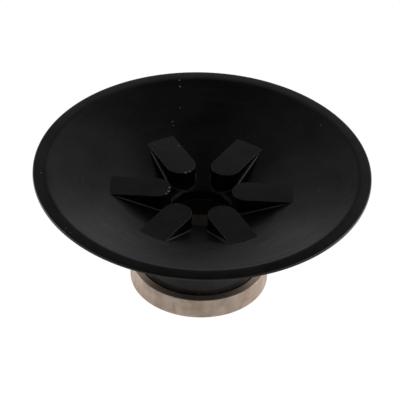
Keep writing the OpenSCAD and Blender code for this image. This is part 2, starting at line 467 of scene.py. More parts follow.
@dataclass(frozen=True)
class BlackCoat:
    """Matte black anodising over turned or milled aluminium."""

    name: str
    spots: tuple[Spot, ...] = ()
    dark: Triple = (0.0040, 0.0041, 0.0044)
    light: Triple = (0.0075, 0.0077, 0.0080)
    lint: Triple = (0.42, 0.42, 0.41)
    highlight_grey: Triple = (0.30, 0.30, 0.29)
    rough: float = 0.26
    lint_share: float = 0.02
    milled: bool = False
    rear: float = 18.0
    rear_painted_sheen: float = 1.75
    domed: Triple = (0.0, 0.0, 0.0)
    throat_shade: ThroatShade | None = None

    def material(self) -> Material:
        """Builds the finish.

        Turned faces carry fine rings and broad bands. Milled faces carry straight cutter marks
        along the lug instead, and a painted highlight: more sheen towards the rear. Both have a blasted
        grain, a little lint and a painted highlight in bare grey where the points mark it. The painted
        shade, when given, dulls the shine. domed is (inner radius, outer radius, fall) of a face that
        falls off by bump.

        Returns:
            The material.
        """
        made = Sockets(self.name)
        grain = made.noise(made.place, 2600.0, 4.0, 0.7)
        cloud = made.noise(made.place, 70.0, 3.0, 0.6)
        if self.milled:
            local = made.attribute("local").outputs["Vector"]
            marks = made.noise(made.scaled(local, (160.0, 2400.0, 160.0)), 1.0, 3.0, 0.6)
            bands = made.noise(made.scaled(local, (60.0, 500.0, 60.0)), 1.0, 2.0, 0.5)
        else:
            marks = made.noise(made.round_axis(2300.0, 3.0), 1.0, 3.0, 0.65)
            bands = made.noise(made.round_axis(420.0, 2.2), 1.0, 3.0, 0.6)
        tone = made.spread(made.weigh((grain, 0.35), (bands, 0.35), (cloud, 0.30)), 0.38, 0.64)
        lint = made.math("MAXIMUM", made.specks(0.4, 2.6, self.lint_share), self.spot_mask(made))
        # painted highlight: bare grey, partly metallic, where the points are marked
        painted_highlight = made.attribute("painted_highlight").outputs["Fac"]
        made.put("Metallic", made.times(painted_highlight, 0.8))
        colour = made.blend(tone, (*self.dark, 1.0), (*self.light, 1.0))
        colour = made.blend(painted_highlight, colour, (*self.highlight_grey, 1.0))
        made.put("Base Color", made.blend(lint, colour, (*self.lint, 1.0)))
        rough = made.spread(made.weigh((bands, 0.6), (cloud, 0.4)), 0.35, 0.65,
                            self.rough - 0.05, self.rough + 0.06)
        rough = made.math("MAXIMUM", rough, made.times(lint, 0.9))
        sheen = made.spread(made.weigh((grain, 0.55), (cloud, 0.45)), 0.34, 0.66, 0.30, 0.70)
        sheen = made.math("ADD", sheen, made.times(self.scratches(made), 0.32))
        # painted highlight: the lugs' shine grows towards the rear
        if self.milled:
            y = made.separate(made.place)[1]
            sheen = made.times(sheen, made.spread(y, 0.0, self.rear * MM, 1.0, self.rear_painted_sheen))
        # painted shade: the shine is dulled and roughened by the throat and on the dish's front
        if self.throat_shade:
            shaded = self.throat_shade.share(made)
            sheen = made.times(sheen, made.math("SUBTRACT", 1.0, shaded))
            rough = made.math("ADD", rough, made.times(shaded, 0.3))
        made.put("Roughness", rough)
        made.put("Specular IOR Level", sheen)
        made.put("IOR", 1.5)
        rings = made.bump(grain, 0.006, 0.5, made.bump(marks, 0.004, 0.4))
        if self.domed[2] > 0.0:
            rings = made.dome(*self.domed, rings)
        made.put("Normal", made.bump(lint, 0.05, 0.6, rings))
        return made.material

    def spot_mask(self, made: Sockets) -> object:
        """One inside any of the coat's spots, whose edges a fine noise makes ragged."""
        if not self.spots:
            return 0.0
        ragged = made.times(made.noise(made.place, 3000.0, 2.0), 0.4 * MM)
        mask: object = 0.0
        for spot in self.spots:
            away = made.node("ShaderNodeVectorMath", operation="DISTANCE")
            made.join(made.place, away.inputs[0])
            away.inputs[1].default_value = (spot.x * MM, spot.y * MM, spot.z * MM)
            edge = made.math("ADD", away.outputs["Value"], ragged)
            inside = made.math("LESS_THAN", edge, (spot.size / 2.0 + 0.2) * MM)
            mask = made.math("MAXIMUM", mask, inside)
        return mask

    def scratches(self, made: Sockets) -> Socket:
        """Long faint scratches that run slantwise over the dish, more of them in some places."""
        turned = made.scaled(made.place, (45.0, 1500.0, 45.0), -32.0)
        lines = made.spread(made.noise(turned, 1.0, 1.0, 0.4), 0.70, 0.76)
        where = made.spread(made.noise(made.place, 28.0, 1.0, 0.5), 0.50, 0.62)
        return made.times(lines, where)


@dataclass(frozen=True)
class TurnedMetal:
    """Bare or plated turned metal with rings, soft streaks and small pits."""

    name: str
    dull: Triple
    bright: Triple
    rough: float = 0.24
    streak: float = 0.6
    pits: float = 0.12
    grooves: float = 0.6
    domed: Triple = (0.0, 0.0, 0.0)
    pit_colour: Triple = (0.12, 0.085, 0.06)

    def material(self) -> Material:
        """Builds the finish.

        Returns:
            The material.
        """
        made = Sockets(self.name)
        rings = made.noise(made.round_axis(5200.0, 2.0), 1.0, 3.0, 0.6)
        streaks = made.noise(made.round_axis(160.0, 9.0), 1.0, 4.0, 0.6)
        smudge = made.noise(made.place, 230.0, 5.0, 0.68)
        mixed = made.weigh((streaks, self.streak), (smudge, 1.0 - self.streak))
        pit = made.specks(0.22, 1.1, self.pits)
        tarnish = [tone * share for tone, share in zip(self.dull, (0.75, 0.72, 0.70))]
        where = made.spread(made.noise(made.place, 95.0, 2.0), 0.35, 0.65, 0.0, 0.35)
        colour = made.blend(made.spread(mixed, 0.36, 0.64), (*self.dull, 1.0), (*self.bright, 1.0))
        colour = made.blend(made.times(pit, 0.45), colour, (*self.pit_colour, 1.0))
        made.put("Base Color", made.blend(where, colour, (*tarnish, 1.0)))
        made.put("Metallic", 1.0)
        around = made.node("ShaderNodeTangent", direction_type="RADIAL", axis="Z")
        made.put("Tangent", around.outputs[0])
        made.put("Anisotropic", self.grooves)
        made.put("Anisotropic Rotation", 0.25)
        rough = made.spread(mixed, 0.36, 0.66, self.rough + 0.10, self.rough - 0.04)
        made.put("Roughness", made.math("ADD", rough, made.times(pit, 0.2)))
        normal = made.bump(smudge, 0.02, 0.35, made.bump(rings, 0.0015, 0.8))
        if self.domed[2] > 0.0:
            normal = made.dome(*self.domed, normal)
        made.put("Normal", made.bump(made.math("SUBTRACT", 1.0, pit), 0.02, 0.7, normal))
        return made.material


@dataclass(frozen=True)
class Rubber:
    """Dull black rubber with a mould's grain and a dusting of talc."""

    name: str
    dark: Triple = (0.012, 0.012, 0.012)
    talc: Triple = (0.045, 0.044, 0.042)
    rough: float = 0.62
    fine: float = 1800.0

    def material(self) -> Material:
        """Builds the finish.

        Returns:
            The material.
        """
        made = Sockets(self.name)
        grain = made.noise(made.place, self.fine, 3.0, 0.6)
        dust = made.noise(made.place, 140.0, 4.0, 0.6)
        share = made.spread(made.weigh((grain, 0.4), (dust, 0.6)), 0.40, 0.72)
        made.put("Base Color", made.blend(share, (*self.dark, 1.0), (*self.talc, 1.0)))
        made.put("Roughness", made.spread(dust, 0.3, 0.7, self.rough - 0.08, self.rough + 0.12))
        made.put("Normal", made.bump(grain, 0.012, 0.6))
        return made.material


class Slot(Enum):
    """The record's material slots, one for each finish."""

    BLACK = "black_coat"
    SLEEVE = "sleeve_metal"
    RING = "plated_ring"
    WIRE = "spring_wire"
    SEAL = "seal_rubber"
    GASKET = "gasket_rubber"


class Body(Enum):
    """The bodies that the pieces ride on."""

    CONE = "cone"
    RING = "swivel_ring"


def finish_piece(piece: Object, material: Material, slot: Slot, body: Body,
                 *nodes: str) -> None:
    """Dresses a piece, ties it to its body and hides the CAD nodes that it stands for.

    Args:
        piece: The piece.
        material: Its finish.
        slot: The record's slot for that finish; not used.
        body: The body it rides on.
        *nodes: The CAD nodes that it replaces.
    """
    piece.data.materials.clear()
    piece.data.materials.append(material)
    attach(piece, body.value)
    if nodes:
        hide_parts(*nodes)
    LOG.info("%s: %d faces, rides on %s", piece.name, len(piece.data.polygons), body.value)


# ------------------------------------------------------------------ cone and lugs


def points_of(piece: Object) -> Array:
    """The piece's points in millimetres, one row each."""
    place = np.empty(len(piece.data.vertices) * 3)
    piece.data.vertices.foreach_get("co", place)
    return place.reshape(-1, 3) / MM


def mark_painted_highlight(piece: Object, share: Array) -> None:
    """Stores the painted highlight at each point: how far the colour turns bare grey, from 0 to 1."""
    piece.data.attributes.new("painted_highlight", "FLOAT", "POINT").data.foreach_set("value", share)


def span(node: str) -> tuple[Array, Array]:
    """Lowest and highest corner of a CAD node, in millimetres."""
    low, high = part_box(node)
    return np.array(low) / MM, np.array(high) / MM


@dataclass
class Cone:
    """The feed cone: dish, rolled lip, throat and neck, with six lugs round the throat."""

    lip_w: float = 4.4
    lip_fall: float = 0.1
    lip_t: float = 1.0
    lip_round: float = 0.45
    lip_turn: float = 78.0
    under_round: float = 0.3
    crest_step: float = 0.1
    dish_depth: float = 15.2
    throat_inset: float = 0.8
    throat_round: float = 2.0
    cone_wall: float = 3.0
    neck_fillet: float = 5.0
    neck_wall: float = 3.15
    floor_t: float = 4.5
    pipe_stop_w: float = 1.5
    push_gap: float = 0.02
    rim_seal_d: float = 2.4
    seal_sink: float = 0.55
    groove_gap: float = 0.1
    burr: float = 0.15
    edge_break: float = 0.25
    vault_round: float = 1.0
    foot_fillet: float = 0.5
    top_edge: float = 0.22
    lug_count: int = 6

    def __post_init__(self) -> None:
        """Reads the driving sizes from the frame."""
        low, high = span("feed_cone")
        self.rim_r = float(min(high[0], high[1], -low[0], -low[1]))
        self.crest_z, self.neck_z = high[2], low[2]
        lug_low, lug_high = span("guard_lug_1")
        self.nose_r, self.lug_w = lug_low[0], lug_high[1] - lug_low[1]
        self.lug_top_z = lug_high[2]
        self.floor_z = self.crest_z - self.dish_depth
        self.throat_r = self.nose_r - self.throat_inset
        self.face_r = self.rim_r - self.lip_w
        self.rise = (self.crest_z - self.crest_step - self.floor_z) / (self.face_r - self.nose_r)
        self.angle = math.atan(self.rise)
        self.round_r = self.throat_r + self.throat_round
        self.round_z = (self.floor_z + self.rise * (self.round_r - self.nose_r)
                        - self.throat_round / math.cos(self.angle))
        self.stop_z = span("throat_sleeve")[1][2]
        wire_low, wire_high = span("snap_ring")
        self.wire_d = wire_high[2] - wire_low[2]
        self.wire_z = (wire_high[2] + wire_low[2]) / 2.0
        self.neck_r = wire_high[0] - self.wire_d / 2.0

    def face_z(self, radius: Array) -> Array:
        """Height of the cone's face: a straight slope that rolls over into the throat.

        Outside the rounded edge the height is floor + rise * (r - nose). Inside it, the height is
        that of the edge's circle, centre_z + sqrt(round^2 - (r - centre_r)^2).

        Args:
            radius: Distances from the axis.

        Returns:
            The heights.
        """
        radius = np.asarray(radius)
        straight = self.floor_z + self.rise * (radius - self.nose_r)
        inside = np.clip(self.throat_round**2 - (radius - self.round_r) ** 2, 0.0, None)
        rolled = self.round_z + np.sqrt(inside)
        touch = self.round_r - self.throat_round * math.sin(self.angle)
        return np.where(radius > touch, straight, rolled)

    def under_z(self, radius: Array) -> Array:
        """Height of the cone's underside, one wall below the face along the face's normal."""
        face = self.floor_z + self.rise * (np.asarray(radius) - self.nose_r)
        return face - self.cone_wall / math.cos(self.angle)

    def rim_seal_r(self) -> float:
        """Radius of the seal under the lip."""
        return self.face_r - self.rim_seal_d / 2.0

    def rim_groove_top(self) -> float:
        """Height of the groove's end above the seal under the lip."""
        return float(self.under_z(np.array(self.rim_seal_r()))) + self.rim_seal_d * self.seal_sink

    def profile(self) -> Array:
        """The cone's closed section, from the throat up the face, over the lip and back inside."""
        corner = 1.6
        face = np.linspace(self.round_r, self.face_r - corner, 44)
        slope, slope_deg = self.angle, math.degrees(self.angle)
        throat = arc((self.round_r, self.round_z), self.throat_round, 180.0, 90.0 + slope_deg, 16)
        top, bottom = self.crest_z - self.lip_fall, self.crest_z - self.lip_fall - self.lip_t
        upper, lower = self.lip_round, self.under_round
        lip = np.concatenate([
            arc((self.rim_r - upper, top - upper), upper, self.lip_turn, 0.0, 12),
            arc((self.rim_r - lower, bottom + lower), lower, 0.0, -75.0, 6),
        ])
        crest = self.crest_curve(corner)
        seal_r, groove_top = self.rim_seal_r(), self.rim_groove_top()
        half = self.rim_seal_d / 2.0 + self.groove_gap
        mouth = self.under_z(np.array([seal_r + half, seal_r - half]))
        groove = np.array([
            [seal_r + half + 0.15, mouth[0] + 0.06], [seal_r + half, mouth[0] + 0.15],
            [seal_r + half, groove_top - 0.1], [seal_r + half - 0.1, groove_top],
            [seal_r - half + 0.1, groove_top], [seal_r - half, groove_top - 0.1],
            [seal_r - half, mouth[1] + 0.1], [seal_r - half - 0.12, mouth[1] - 0.02],
        ])
        fillet_x = self.neck_r + self.neck_fillet
        end_r = fillet_x - self.neck_fillet * math.sin(slope)
        under = np.linspace(seal_r - half - 0.4, end_r + 0.2, 30)
        centre_z = float(self.under_z(np.array(end_r))) - self.neck_fillet * math.cos(slope)
        bend = arc((fillet_x, centre_z), self.neck_fillet, 90.0 + slope_deg, 180.0, 20)
        wire_r, wire_half = self.neck_r - self.wire_d / 2.0, self.wire_d / 2.0 + self.groove_gap
        wire_top, wire_bottom = self.wire_z + wire_half, self.wire_z - wire_half
        seat_r = self.neck_r - self.neck_wall + self.push_gap
        chamber_r = frame_bore_radius() - self.pipe_stop_w
        chamber_z = self.floor_z - self.floor_t
        bevel = self.edge_break
        neck = np.array([
            [self.neck_r, centre_z - 1.0], [self.neck_r, wire_top + 0.1],
            [self.neck_r, wire_top], [wire_r, wire_top],
            [wire_r, wire_bottom], [self.neck_r, wire_bottom],
            [self.neck_r, self.neck_z + bevel], [self.neck_r - bevel, self.neck_z],
            [seat_r + bevel, self.neck_z], [seat_r, self.neck_z + bevel],
            [seat_r, self.stop_z - 0.05], [seat_r, self.stop_z],
            [chamber_r + bevel, self.stop_z], [chamber_r, self.stop_z + bevel],
        ])
        wall_z = np.linspace(self.stop_z + 0.6, chamber_z - 1.2, 6)
        chamber = np.stack([np.full(6, chamber_r), wall_z], axis=1)
        corner_r = self.vault_round
        vault = arc((chamber_r - corner_r, chamber_z - corner_r), corner_r, 0.0, 90.0, 8)
        ridge_r, ridge_top = self.throat_r - self.burr, chamber_z + 1.3 * self.burr
        edge = np.array([
            [self.throat_r + 0.02, chamber_z], [ridge_r, chamber_z + 0.05], [ridge_r, chamber_z + 0.08],
            [self.throat_r, ridge_top + 0.08], [self.throat_r, ridge_top + 0.2],
        ])
        return np.concatenate([
            throat,
            np.stack([face, self.face_z(face)], axis=1),
            crest, lip, groove,
            np.stack([under, self.under_z(under)], axis=1),
            bend, neck, chamber, vault, edge,
        ])

    def crest_curve(self, corner: float) -> Array:
        """The lip's top: a smooth cubic from the face's slope to the lip's gentle fall.

        The cubic starts at the end of the face with the face's slope, and ends over the lip's
        inner edge with the slope of a line that falls by lip_fall to the rim.

        Args:
            corner: Distance inside face_r at which the face's own line ends.

        Returns:
            The curve's points.
        """
        start_r, end_r = self.face_r - corner, self.face_r + 1.0
        width = end_r - start_r
        share = np.linspace(0.0, 1.0, 12)[1:]
        height = (
            (2 * share**3 - 3 * share**2 + 1) * float(self.face_z(start_r))
            + (share**3 - 2 * share**2 + share) * width * self.rise
            + (-2 * share**3 + 3 * share**2) * self.crest_z
        )
        inner = np.stack([start_r + width * share, np.minimum(height, self.crest_z)], axis=1)
        turn = math.radians(self.lip_turn)
        last_r = self.rim_r - self.lip_round * (1.0 - math.cos(turn)) - 0.05
        outer_r = np.linspace(end_r, last_r, 8)[1:-1]
        fall = self.lip_fall + self.lip_round * (1.0 - math.sin(turn))
        outer_z = self.crest_z - fall * ((outer_r - end_r) / (last_r - end_r)) ** 2
        return np.concatenate([inner, np.stack([outer_r, outer_z], axis=1)])

    def build(self, material: Material) -> None:
        """Builds and dresses the cone's own piece."""
        piece = turned_piece("feed_cone_skin", self.profile())
        mark_painted_highlight(piece, self.painted_highlight(points_of(piece)))
        finish_piece(piece, material, Slot.BLACK, Body.CONE, "feed_cone")

    def painted_highlight(self, place: Array) -> Array:
        """Painted highlight in bare grey: on the ridge under the throat, and on the lip's edge, more at
        its sides.
        """
        radius = np.hypot(place[:, 0], place[:, 1])
        # painted highlight on the ridge under the throat
        half = 0.65 * self.burr
        ridge_z = self.floor_z - self.floor_t + 0.07 + half
        near = (radius < self.throat_r + 0.03) & (np.abs(place[:, 2] - ridge_z) < 0.03 + half)
        # painted highlight on the lip's edge, growing towards the sides
        below = self.crest_z - self.lip_fall - place[:, 2]
        rim = (radius > self.rim_r - 0.4) & (below > 0.03) & (below < 0.27)
        sides = np.clip(1.6 * np.abs(place[:, 0]) / self.rim_r - 0.45, 0.0, 0.6)
        return np.maximum(0.7 * near, rim * sides)


@dataclass
class Lug:
    """One guard lug, a bar with a round nose whose foot is blended into the cone's face."""

    cone: Cone
    number: int
    flank_points: int = 26
    nose_points: int = 49
    across: int = 14
    run_out: float = 0.35
    sunk: float = 0.012
    skirt: float = 0.3

    def outline(self) -> tuple[Array, Array]:
        """Plan of the lug, from one outer end round the nose to the other outer end.

        The flanks run on a little past the place where the top meets the cone's face.

        Returns:
            The points and the outward normals, as (x, y) rows.
        """
        cone = self.cone
        half = cone.lug_w / 2.0
        centre = cone.nose_r + half
        radii = np.linspace(cone.nose_r, cone.face_r, 4000)
        end_x = float(radii[np.argmin(np.abs(cone.face_z(radii) - cone.lug_top_z))]) + self.run_out
        share = np.linspace(0.0, 1.0, self.flank_points, endpoint=False)
        flank_x = end_x + (centre - end_x) * share
        angle = np.radians(np.linspace(270.0, 90.0, self.nose_points))
        nose = np.stack([np.cos(angle), np.sin(angle)], axis=1)
        low = np.stack([flank_x, np.full_like(flank_x, -half)], axis=1)
        low_normal = np.tile([0.0, -1.0], (len(flank_x), 1))
        high, high_normal = low[::-1] * [1.0, -1.0], low_normal[::-1] * [1.0, -1.0]
        points = np.concatenate([low, [centre, 0.0] + half * nose, high])
        normals = np.concatenate([low_normal, nose, high_normal])
        return points, normals

    def build(self, material: Material) -> None:
        """Builds the lug: its wall carried along the outline, then its top, end and underside.

        At each outline point the wall's section is a concave quarter circle off the cone's face,
        a straight rise and a convex quarter circle to the flat top. Where the top runs out into
        the face, both circles shrink with what is left of the wall's height.
        """
        cone = self.cone
        points, normals = self.outline()
        rise = np.maximum(cone.lug_top_z - cone.face_z(np.hypot(*points.T)), 0.0)
        foot = np.minimum(cone.foot_fillet, 0.45 * rise)
        edge = np.minimum(cone.top_edge, 0.3 * rise)
        hold = np.minimum(0.12, 0.1 * rise)
        skirt_z = self.ground(points + normals * foot[:, None]) - self.sunk
        sections = [(foot, skirt_z - self.skirt), (foot, skirt_z)]
        for turn in np.radians(np.linspace(12.0, 90.0, 8)):
            out = foot * (1.0 - np.sin(turn))
            ground = self.ground(points + normals * out[:, None])
            sections.append((out, ground + foot * (1.0 - np.cos(turn))))
        flat = np.zeros_like(foot)
        sections += [(flat, cone.lug_top_z - rise + foot + hold), (flat, cone.lug_top_z - edge - hold)]
        for turn in np.radians(np.linspace(0.0, 90.0, 7)):
            sections.append((edge * (np.cos(turn) - 1.0), cone.lug_top_z - edge * (1.0 - np.sin(turn))))
        sections.append((-edge - 0.15, np.full_like(edge, cone.lug_top_z)))
        wall = np.stack([
            np.concatenate([points + normals * out[:, None], height[:, None]], axis=1)
            for out, height in sections
        ])
        surface = Surface()
        surface.add(self.placed(wall))
        surface.add(self.placed(self.bridge(wall[-1], None)))
        under = self.bridge(wall[0], self.sunk_z)
        surface.add(self.placed(under))
        end = np.stack([np.stack([row[0], row[-1]]) for row in wall])
        across = self.share()[None, :, None]
        cap = end[:, 0:1] * (1.0 - across) + end[:, 1:2] * across
        cap[0, :, 2] = under[0, :, 2]
        surface.add(self.placed(cap))
        piece = surface.piece(f"guard_lug_{self.number}_skin")
        self.mark(piece)
        finish_piece(piece, material, Slot.BLACK, Body.CONE, f"guard_lug_{self.number}")

    def ground(self, place: Array) -> Array:
        """Height of the cone's face under the points, held at the lug's top."""
        return np.minimum(self.cone.face_z(np.hypot(place[..., 0], place[..., 1])), self.cone.lug_top_z)

    def sunk_z(self, place: Array) -> Array:
        """Height of the underside, a little below the cone's face."""
        return self.ground(place) - self.sunk - self.skirt

    def share(self) -> Array:
        """Shares across the lug, closer together near its sides."""
        even = np.linspace(-1.0, 1.0, self.across + 1)
        return 0.5 + 0.5 * np.sin(even * math.pi / 2.0)

    def bridge(self, ring: Array, height: object) -> Array:
        """Rows of points straight across from each outline point to its mirror image.

        Args:
            ring: Points along the outline.
            height: Gives the heights from the points, or None to keep the ring's own.

        Returns:
            A grid from the outer end to the nose's tip.
        """
        half = (len(ring) + 1) // 2
        start, end = ring[:half, None, :], ring[::-1][:half, None, :]
        across = self.share()[None, :, None]
        grid = start * (1.0 - across) + end * across
        if height is not None:
            inner = height(grid)
            inner[:, 0], inner[:, -1] = grid[:, 0, 2], grid[:, -1, 2]
            inner[-1] = grid[-1, :, 2]
            grid = np.concatenate([grid[..., :2], inner[..., None]], axis=2)
        return grid

    def turn(self) -> float:
        """Angle from +X to the lug."""
        return TAU * (self.number - 1) / self.cone.lug_count

    def placed(self, grid: Array) -> Array:
        """The grid turned about the axis to the lug's own place."""
        return spun(grid, self.turn())

    def mark(self, piece: Object) -> None:
        """Stores each point's own place for the cutter marks, and a painted highlight along the foot.

        The places are moved 100 mm on from lug to lug, so that no two lugs bear the same marks.
        The painted highlight grows with the sine of the lug's angle, so it is strongest on the rear
        lugs, and fades where the top nears the face.
        """
        cone, half = self.cone, self.cone.lug_w / 2.0
        local = spun(points_of(piece), -self.turn())
        x, y, z = (local[:, axis] for axis in range(3))
        stored = (local + [100.0 * self.number, 0.0, 0.0]) * MM
        vectors = piece.data.attributes.new("local", "FLOAT_VECTOR", "POINT")
        vectors.data.foreach_set("vector", stored.ravel())
        past = x - cone.nose_r - half
        beside = np.where(past > 0.0, np.abs(y), np.hypot(past, y)) - half
        ground = cone.face_z(np.hypot(x, y))
        foot = (beside > 0.04) & (beside < cone.foot_fillet * 0.9)
        foot = foot & (z > ground) & (z < cone.lug_top_z - 0.3)
        # painted highlight along the foot, strongest on the rear lugs
        foot_highlight = min(0.95, 0.53 + 0.53 * math.sin(self.turn()))
        fade = np.clip((cone.lug_top_z - ground - 0.5) / 1.2, 0.0, 1.0)
        mark_painted_highlight(piece, foot * foot_highlight * fade * np.clip(past / 2.0 + 1.0, 0.12, 1.0))


# ------------------------------------------------------------------ sleeve, seals and ring


def hoop_profile(radius: float, height: float, thickness: float, flash: float, count: int) -> Array:
    """Section of a seal: a circle with a low moulding line on its inner and outer side.

    The radius at angle a is half the thickness less a share of flash, except within a few
    degrees of a = 0 and a = 180, where the moulding line stands at the full half thickness.

    Args:
        radius: Distance of the section's centre from the axis.
        height: Height of the section's centre.
        thickness: Diameter of the section over the moulding line.
        flash: Height of the moulding line.
        count: Number of points.

    Returns:
        The closed section.
    """
    angle = np.linspace(0.0, TAU, count, endpoint=False)
    line = np.exp(-((np.sin(angle) / 0.12) ** 2))
    size = thickness / 2.0 - flash * (1.0 - line)
    return np.stack([radius + size * np.cos(angle), height + size * np.sin(angle)], axis=1)


@dataclass
class Sleeve:
    """The metal sleeve in the neck, its two seals and the flat gasket under its flange."""

    seal_d: float = 0.9
    groove_gap: float = 0.1
    push_gap: float = 0.02
    flange_t: float = 0.7
    flange_w: float = 1.9
    gasket_gap: float = 0.6

    def __post_init__(self) -> None:
        """Reads the driving sizes from the frame."""
        low, high = span("throat_sleeve")
        self.bottom_z, self.top_z = low[2], high[2]
        self.flange_r = (high[0] - low[0]) / 2.0
        self.outer_r = self.flange_r - self.flange_w
        self.bore_r = frame_bore_radius()
        self.groove_r = self.outer_r + self.push_gap - self.seal_d
        self.seal_z = [float(np.mean([part[2] for part in span(name)]))
                       for name in ("sleeve_seal_lower", "sleeve_seal_upper")]

    def profile(self) -> Array:
        """The sleeve's closed section, with rounded ends and a groove for each seal."""
        half = self.seal_d / 2.0 + self.groove_gap
        corners = [(self.bore_r, self.bottom_z, 0.3), (self.flange_r, self.bottom_z, 0.2),
                   (self.flange_r, self.bottom_z + self.flange_t, 0.2),
                   (self.outer_r, self.bottom_z + self.flange_t, 0.05)]
        for height in self.seal_z:
            corners += [(self.outer_r, height - half, 0.06), (self.groove_r, height - half, 0.04),
                        (self.groove_r, height + half, 0.04), (self.outer_r, height + half, 0.06)]
        corners += [(self.outer_r, self.top_z, 0.3), (self.bore_r, self.top_z, 0.5)]
        return rounded(corners, hold=0.05)

    def build(self, metal: Material, rubber: Material, sheet: Material) -> None:
        """Builds and dresses the sleeve, its seals and the gasket."""
        sleeve = turned_piece("throat_sleeve_skin", self.profile(), 240)
        finish_piece(sleeve, metal, Slot.SLEEVE, Body.CONE, "throat_sleeve")
        for height, name in zip(self.seal_z, ("sleeve_seal_lower", "sleeve_seal_upper")):
            profile = hoop_profile(self.groove_r + self.seal_d / 2.0, height, self.seal_d, 0.03, 28)
            finish_piece(turned_piece(f"{name}_skin", profile, 200), rubber, Slot.SEAL, Body.CONE, name)
        low, high = span("inlet_gasket")
        outer = (high[0] - low[0]) / 2.0
        inner = self.bore_r + self.gasket_gap
        sides = ((inner, low[2]), (outer, low[2]), (outer, high[2]), (inner, high[2]))
        corners = [(*side, 0.12) for side in sides]
        gasket = turned_piece("inlet_gasket_skin", rounded(corners, 0.1, 5), 200)
        finish_piece(gasket, sheet, Slot.GASKET, Body.CONE, "inlet_gasket")


def frame_bore_radius() -> float:
    """Radius of the sleeve's bore in millimetres, as the record's mount states it."""
    for mount in FRAME["record"]["mounts"]:
        if mount["name"] == "inlet_bore":
            return float(mount["dims"]["r_mm"])
    raise ValueError("the record has no inlet_bore mount")


@dataclass
class RimSeal:
    """The round seal under the lip."""

    cone: Cone

    def build(self, rubber: Material) -> None:
        """Builds and dresses the seal."""
        cone = self.cone
        height = cone.rim_groove_top() - cone.rim_seal_d / 2.0
        profile = hoop_profile(cone.rim_seal_r(), height, cone.rim_seal_d, 0.05, 40)
        finish_piece(turned_piece("rim_seal_skin", profile), rubber, Slot.SEAL, Body.CONE, "rim_seal")


@dataclass
class SnapRing:
    """The split wire ring that lets the mounting ring turn and holds it on the neck."""

    cone: Cone
    gap: float = 18.0
    sides: int = 20
    steps: int = 220

    def build(self, metal: Material) -> None:
        """Builds the wire: a circle carried round an arc, its ends closed by shrinking rings."""
        cone = self.cone
        size = cone.wire_d / 2.0
        start, end = math.radians(90.0 + self.gap / 2.0), math.radians(450.0 - self.gap / 2.0)
        tip = np.array([0.0, 0.5, 0.8, 0.95])
        nudge = np.array([0.0, 0.0, 0.02, 0.08, 0.16]) / cone.neck_r
        middle = np.linspace(start, end, self.steps)[1:-1]
        angle = np.concatenate([start + nudge, middle, end - nudge[::-1]])
        share = np.concatenate([tip, np.ones(self.steps), tip[::-1]])
        round_wire = np.linspace(0.0, TAU, self.sides, endpoint=False)
        radius = cone.neck_r + size * share[:, None] * np.cos(round_wire)[None, :]
        height = cone.wire_z + size * share[:, None] * np.sin(round_wire)[None, :]
        turn = angle[:, None]
        grid = np.stack([radius * np.cos(turn), radius * np.sin(turn), height], axis=2)
        surface = Surface()
        surface.add(grid, wrap_columns=True)
        finish_piece(surface.piece("snap_ring_skin"), metal, Slot.WIRE, Body.CONE, "snap_ring")


